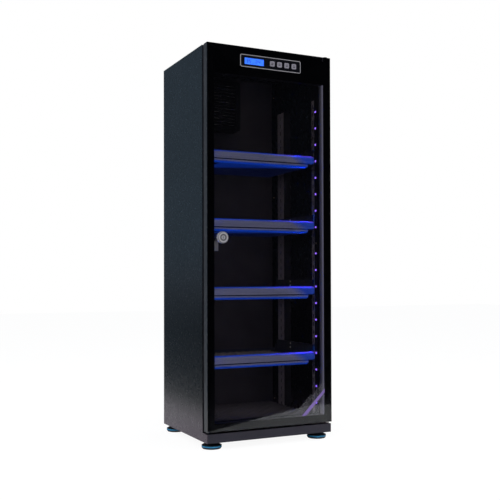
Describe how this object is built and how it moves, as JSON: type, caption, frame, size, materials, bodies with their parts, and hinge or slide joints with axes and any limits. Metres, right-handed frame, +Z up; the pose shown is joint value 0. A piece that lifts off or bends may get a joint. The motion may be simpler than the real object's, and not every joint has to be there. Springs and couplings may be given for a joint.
{
  "type": "camera dry cabinet",
  "caption": "Tall steel dry cabinet on levelling feet with a framed glass door, control panel, cam lock, pull-out shelves and a louvred dryer.",
  "frame": {"origin": "centre of the footprint, on the surface that the feet stand on", "axes": "+X to the right seen from the door, +Y to the back wall, +Z up"},
  "size_m": [0.4, 0.365, 1.143],
  "materials": {
    "body_paint": "satin black-grey powder coat",
    "inner_steel": "satin black paint",
    "raw_steel": "plain zinc-plated steel",
    "door_frame": "satin grey anodised",
    "door_glass": "glossy tinted glass with a black printed border",
    "seal": "matte grey magnetic seal",
    "panel_black": "glossy black",
    "silver": "silver plated plastic",
    "key_grey": "satin silver-grey",
    "display_blue": "lit blue display",
    "board_green": "matte circuit board",
    "chrome": "polished chrome",
    "cam_brass": "plain brass",
    "nylon": "natural nylon",
    "tray_paint": "satin dark paint",
    "shelf_trim": "satin silver grey, which the light strip turns blue",
    "foam": "matte open-cell foam",
    "foam_dark": "matte open-cell foam",
    "led_board": "matte black strip",
    "led_light": "lit violet-blue lens",
    "dryer_plastic": "fine-grained black plastic",
    "cartridge": "off-white plastic",
    "inlet_plastic": "black plastic",
    "foot_plastic": "black plastic with a teal-blue ring",
    "screw_brass": "yellow-passivated steel"
  },
  "bodies": {
    "cabinet": {"side_panel_left": "body_paint", "side_panel_right": "body_paint", "top_panel": "body_paint", "floor_panel": "inner_steel", "back_panel": "body_paint", "plinth": "body_paint", "base_rails": "inner_steel", "front_frame": "inner_steel", "uprights_left": "inner_steel", "uprights_right": "inner_steel", "shelf_rails": "inner_steel", "stop_pins": "raw_steel", "led_strips": "led_board", "led_lenses": "led_light", "dryer_case": "dryer_plastic", "dryer_cover": "dryer_plastic", "desiccant_cartridge": "cartridge", "power_inlet": "inlet_plastic", "hinge_plates": "body_paint", "foot_bushes": "raw_steel", "floor_mat": "foam_dark", "cabinet_screws": "screw_brass"},
    "door": {"door_frame": "door_frame", "door_glass": "door_glass", "door_gasket": "seal", "panel_face": "panel_black", "panel_bezel": "silver", "display": "display_blue", "control_board": "board_green", "lock_body": "chrome", "lock_nut": "raw_steel", "hinge_bushes": "nylon"},
    "lock": {"lock_plug": "chrome", "lock_cam": "cam_brass", "cam_screw": "raw_steel"},
    "key_1": {"key_1": "key_grey"},
    "key_2": {"key_2": "key_grey"},
    "key_3": {"key_3": "key_grey"},
    "key_4": {"key_4": "key_grey"},
    "shelf_1": {"shelf_tray_1": "tray_paint", "shelf_trim_1": "shelf_trim", "shelf_mat_1": "foam"},
    "shelf_2": {"shelf_tray_2": "tray_paint", "shelf_trim_2": "shelf_trim", "shelf_mat_2": "foam"},
    "shelf_3": {"shelf_tray_3": "tray_paint", "shelf_trim_3": "shelf_trim", "shelf_mat_3": "foam"},
    "shelf_4": {"shelf_tray_4": "tray_paint", "shelf_trim_4": "shelf_trim", "shelf_mat_4": "foam"},
    "foot_1": {"foot_pad_1": "foot_plastic"},
    "stud_1": {"foot_stud_1": "raw_steel"},
    "foot_2": {"foot_pad_2": "foot_plastic"},
    "stud_2": {"foot_stud_2": "raw_steel"},
    "foot_3": {"foot_pad_3": "foot_plastic"},
    "stud_3": {"foot_stud_3": "raw_steel"},
    "foot_4": {"foot_pad_4": "foot_plastic"},
    "stud_4": {"foot_stud_4": "raw_steel"}
  },
  "joints": [
    {"name": "door_hinge", "type": "hinge", "parent": "cabinet", "child": "door", "pos_m": [0.19, -0.1575, 0.6], "axis": [0, 0, 1], "range_deg": [0, 165]},
    {"name": "lock_turn", "type": "hinge", "parent": "door", "child": "lock", "pos_m": [-0.1555, -0.1525, 0.592], "axis": [0, 1, 0], "range_deg": [0, 90]},
    {"name": "key_1_press", "type": "slide", "parent": "door", "child": "key_1", "axis": [0, 1, 0], "range_m": [0, 0.0008], "stiffness_N_per_m": 400, "springref_m": -0.001},
    {"name": "key_2_press", "type": "slide", "parent": "door", "child": "key_2", "axis": [0, 1, 0], "range_m": [0, 0.0008], "stiffness_N_per_m": 400, "springref_m": -0.001},
    {"name": "key_3_press", "type": "slide", "parent": "door", "child": "key_3", "axis": [0, 1, 0], "range_m": [0, 0.0008], "stiffness_N_per_m": 400, "springref_m": -0.001},
    {"name": "key_4_press", "type": "slide", "parent": "door", "child": "key_4", "axis": [0, 1, 0], "range_m": [0, 0.0008], "stiffness_N_per_m": 400, "springref_m": -0.001},
    {"name": "shelf_1_slide", "type": "slide", "parent": "cabinet", "child": "shelf_1", "axis": [0, -1, 0], "range_m": [0, 0.0936]},
    {"name": "shelf_2_slide", "type": "slide", "parent": "cabinet", "child": "shelf_2", "axis": [0, -1, 0], "range_m": [0, 0.0936]},
    {"name": "shelf_3_slide", "type": "slide", "parent": "cabinet", "child": "shelf_3", "axis": [0, -1, 0], "range_m": [0, 0.0936]},
    {"name": "shelf_4_slide", "type": "slide", "parent": "cabinet", "child": "shelf_4", "axis": [0, -1, 0], "range_m": [0, 0.0936]},
    {"name": "foot_1_height", "type": "slide", "parent": "cabinet", "child": "foot_1", "axis": [0, 0, 1], "range_m": [-0.01, 0]},
    {"name": "stud_1_turn", "type": "hinge", "parent": "foot_1", "child": "stud_1", "pos_m": [-0.171, -0.1325, 0.02], "axis": [0, 0, 1], "range_deg": [-2880, 0]},
    {"name": "foot_2_height", "type": "slide", "parent": "cabinet", "child": "foot_2", "axis": [0, 0, 1], "range_m": [-0.01, 0]},
    {"name": "stud_2_turn", "type": "hinge", "parent": "foot_2", "child": "stud_2", "pos_m": [0.171, -0.1325, 0.02], "axis": [0, 0, 1], "range_deg": [-2880, 0]},
    {"name": "foot_3_height", "type": "slide", "parent": "cabinet", "child": "foot_3", "axis": [0, 0, 1], "range_m": [-0.01, 0]},
    {"name": "stud_3_turn", "type": "hinge", "parent": "foot_3", "child": "stud_3", "pos_m": [-0.171, 0.1525, 0.02], "axis": [0, 0, 1], "range_deg": [-2880, 0]},
    {"name": "foot_4_height", "type": "slide", "parent": "cabinet", "child": "foot_4", "axis": [0, 0, 1], "range_m": [-0.01, 0]},
    {"name": "stud_4_turn", "type": "hinge", "parent": "foot_4", "child": "stud_4", "pos_m": [0.171, 0.1525, 0.02], "axis": [0, 0, 1], "range_deg": [-2880, 0]}
  ],
  "couplings": [
    {"joint": "shelf_1_slide", "follows": "door_hinge", "m_per_rad": 0.0325},
    {"joint": "shelf_2_slide", "follows": "door_hinge", "m_per_rad": 0.0325},
    {"joint": "shelf_3_slide", "follows": "door_hinge", "m_per_rad": 0.0325},
    {"joint": "shelf_4_slide", "follows": "door_hinge", "m_per_rad": 0.0325},
    {"joint": "stud_1_turn", "follows": "foot_1_height", "rad_per_m": 5026.5},
    {"joint": "stud_2_turn", "follows": "foot_2_height", "rad_per_m": 5026.5},
    {"joint": "stud_3_turn", "follows": "foot_3_height", "rad_per_m": 5026.5},
    {"joint": "stud_4_turn", "follows": "foot_4_height", "rad_per_m": 5026.5}
  ]
}
